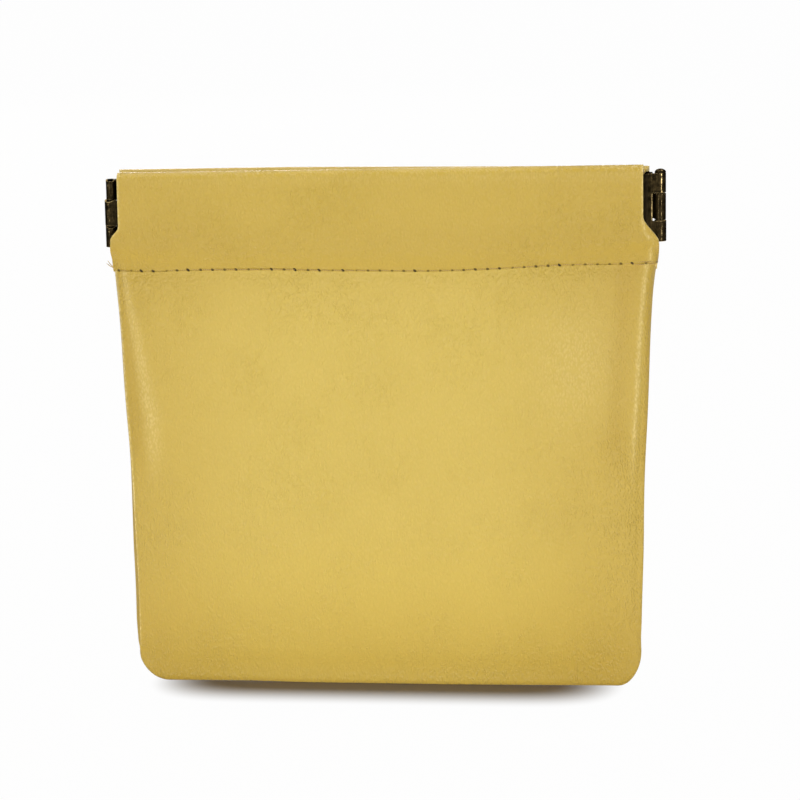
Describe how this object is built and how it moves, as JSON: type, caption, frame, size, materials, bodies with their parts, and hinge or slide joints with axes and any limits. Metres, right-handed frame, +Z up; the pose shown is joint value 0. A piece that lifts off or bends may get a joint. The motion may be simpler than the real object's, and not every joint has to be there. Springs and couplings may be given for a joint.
{
  "type": "leather squeeze pouch",
  "caption": "Flat leather pouch whose mouth snaps shut with two spring strips, hinged at both ends and hidden in folded hems.",
  "frame": {"origin": "middle of the bottom edge's underside, centred in width and depth", "axes": "+Z up from the bottom edge to the mouth, +X along the mouth to the wearer's right as the front is looked at, front faces -Y"},
  "size_m": [0.1218, 0.0128, 0.1155],
  "materials": {
    "front_panel_leather": "smooth, slightly pebbled, mustard yellow",
    "back_panel_leather": "smooth, slightly pebbled, mustard yellow",
    "front_hem_left_leather": "smooth, slightly pebbled, mustard yellow",
    "front_hem_right_leather": "smooth, slightly pebbled, mustard yellow",
    "back_hem_left_leather": "smooth, slightly pebbled, mustard yellow",
    "back_hem_right_leather": "smooth, slightly pebbled, mustard yellow",
    "front_spring_left_steel": "dark antique bronze plating on spring steel, worn on the edges",
    "front_spring_right_steel": "dark antique bronze plating on spring steel, worn on the edges",
    "back_spring_left_steel": "dark antique bronze plating on spring steel, worn on the edges",
    "back_spring_right_steel": "dark antique bronze plating on spring steel, worn on the edges",
    "right_pin_steel": "dark antique bronze plating, worn on the ends",
    "left_pin_steel": "dark antique bronze plating, worn on the ends"
  },
  "bodies": {
    "pocket": {"front_panel": "front_panel_leather", "back_panel": "back_panel_leather"},
    "back_right_strip": {"back_spring_right": "back_spring_right_steel"},
    "front_right_strip": {"front_spring_right": "front_spring_right_steel", "right_pin": "right_pin_steel"},
    "front_left_strip": {"front_spring_left": "front_spring_left_steel"},
    "back_left_strip": {"back_spring_left": "back_spring_left_steel", "left_pin": "left_pin_steel"},
    "front_left_hem": {"front_hem_left": "front_hem_left_leather"},
    "front_right_hem": {"front_hem_right": "front_hem_right_leather"},
    "back_left_hem": {"back_hem_left": "back_hem_left_leather"},
    "back_right_hem": {"back_hem_right": "back_hem_right_leather"}
  },
  "joints": [
    {"name": "back_right_swing", "type": "hinge", "parent": "pocket", "child": "back_right_strip", "pos_m": [0.05778, 0.01034, 0.1064], "axis": [0, 0, 1], "range_deg": [-20, 0]},
    {"name": "right_pin_hinge", "type": "hinge", "parent": "back_right_strip", "child": "front_right_strip", "pos_m": [0.0596, 0, 0.1064], "axis": [0, 0, 1], "range_deg": [0, 40], "stiffness_Nm_per_rad": 0.05, "springref_deg": -11.46},
    {"name": "front_strip_flex", "type": "hinge", "parent": "front_right_strip", "child": "front_left_strip", "pos_m": [0, -0.00015, 0.1064], "axis": [0, 0, 1], "range_deg": [-40, 0]},
    {"name": "back_strip_flex", "type": "hinge", "parent": "back_right_strip", "child": "back_left_strip", "pos_m": [0, 0.00015, 0.1064], "axis": [0, 0, 1], "range_deg": [0, 40]},
    {"name": "front_left_hem_swing", "type": "hinge", "parent": "pocket", "child": "front_left_hem", "pos_m": [-0.05836, -0.01364, 0.1064], "axis": [0, 0, 1], "range_deg": [-20, 0]},
    {"name": "front_right_hem_swing", "type": "hinge", "parent": "pocket", "child": "front_right_hem", "pos_m": [0.05836, -0.01364, 0.1064], "axis": [0, 0, 1], "range_deg": [0, 20]},
    {"name": "back_left_hem_swing", "type": "hinge", "parent": "pocket", "child": "back_left_hem", "pos_m": [-0.05836, 0.01364, 0.1064], "axis": [0, 0, 1], "range_deg": [0, 20]},
    {"name": "back_right_hem_swing", "type": "hinge", "parent": "pocket", "child": "back_right_hem", "pos_m": [0.05836, 0.01364, 0.1064], "axis": [0, 0, 1], "range_deg": [-20, 0]}
  ],
  "couplings": [
    {"joint": "back_right_swing", "follows": "right_pin_hinge", "ratio": -0.5},
    {"joint": "front_strip_flex", "follows": "right_pin_hinge", "ratio": -1},
    {"joint": "back_strip_flex", "follows": "right_pin_hinge", "ratio": 1},
    {"joint": "front_left_hem_swing", "follows": "right_pin_hinge", "ratio": -0.5},
    {"joint": "front_right_hem_swing", "follows": "right_pin_hinge", "ratio": 0.5},
    {"joint": "back_left_hem_swing", "follows": "right_pin_hinge", "ratio": 0.5},
    {"joint": "back_right_hem_swing", "follows": "right_pin_hinge", "ratio": -0.5}
  ]
}
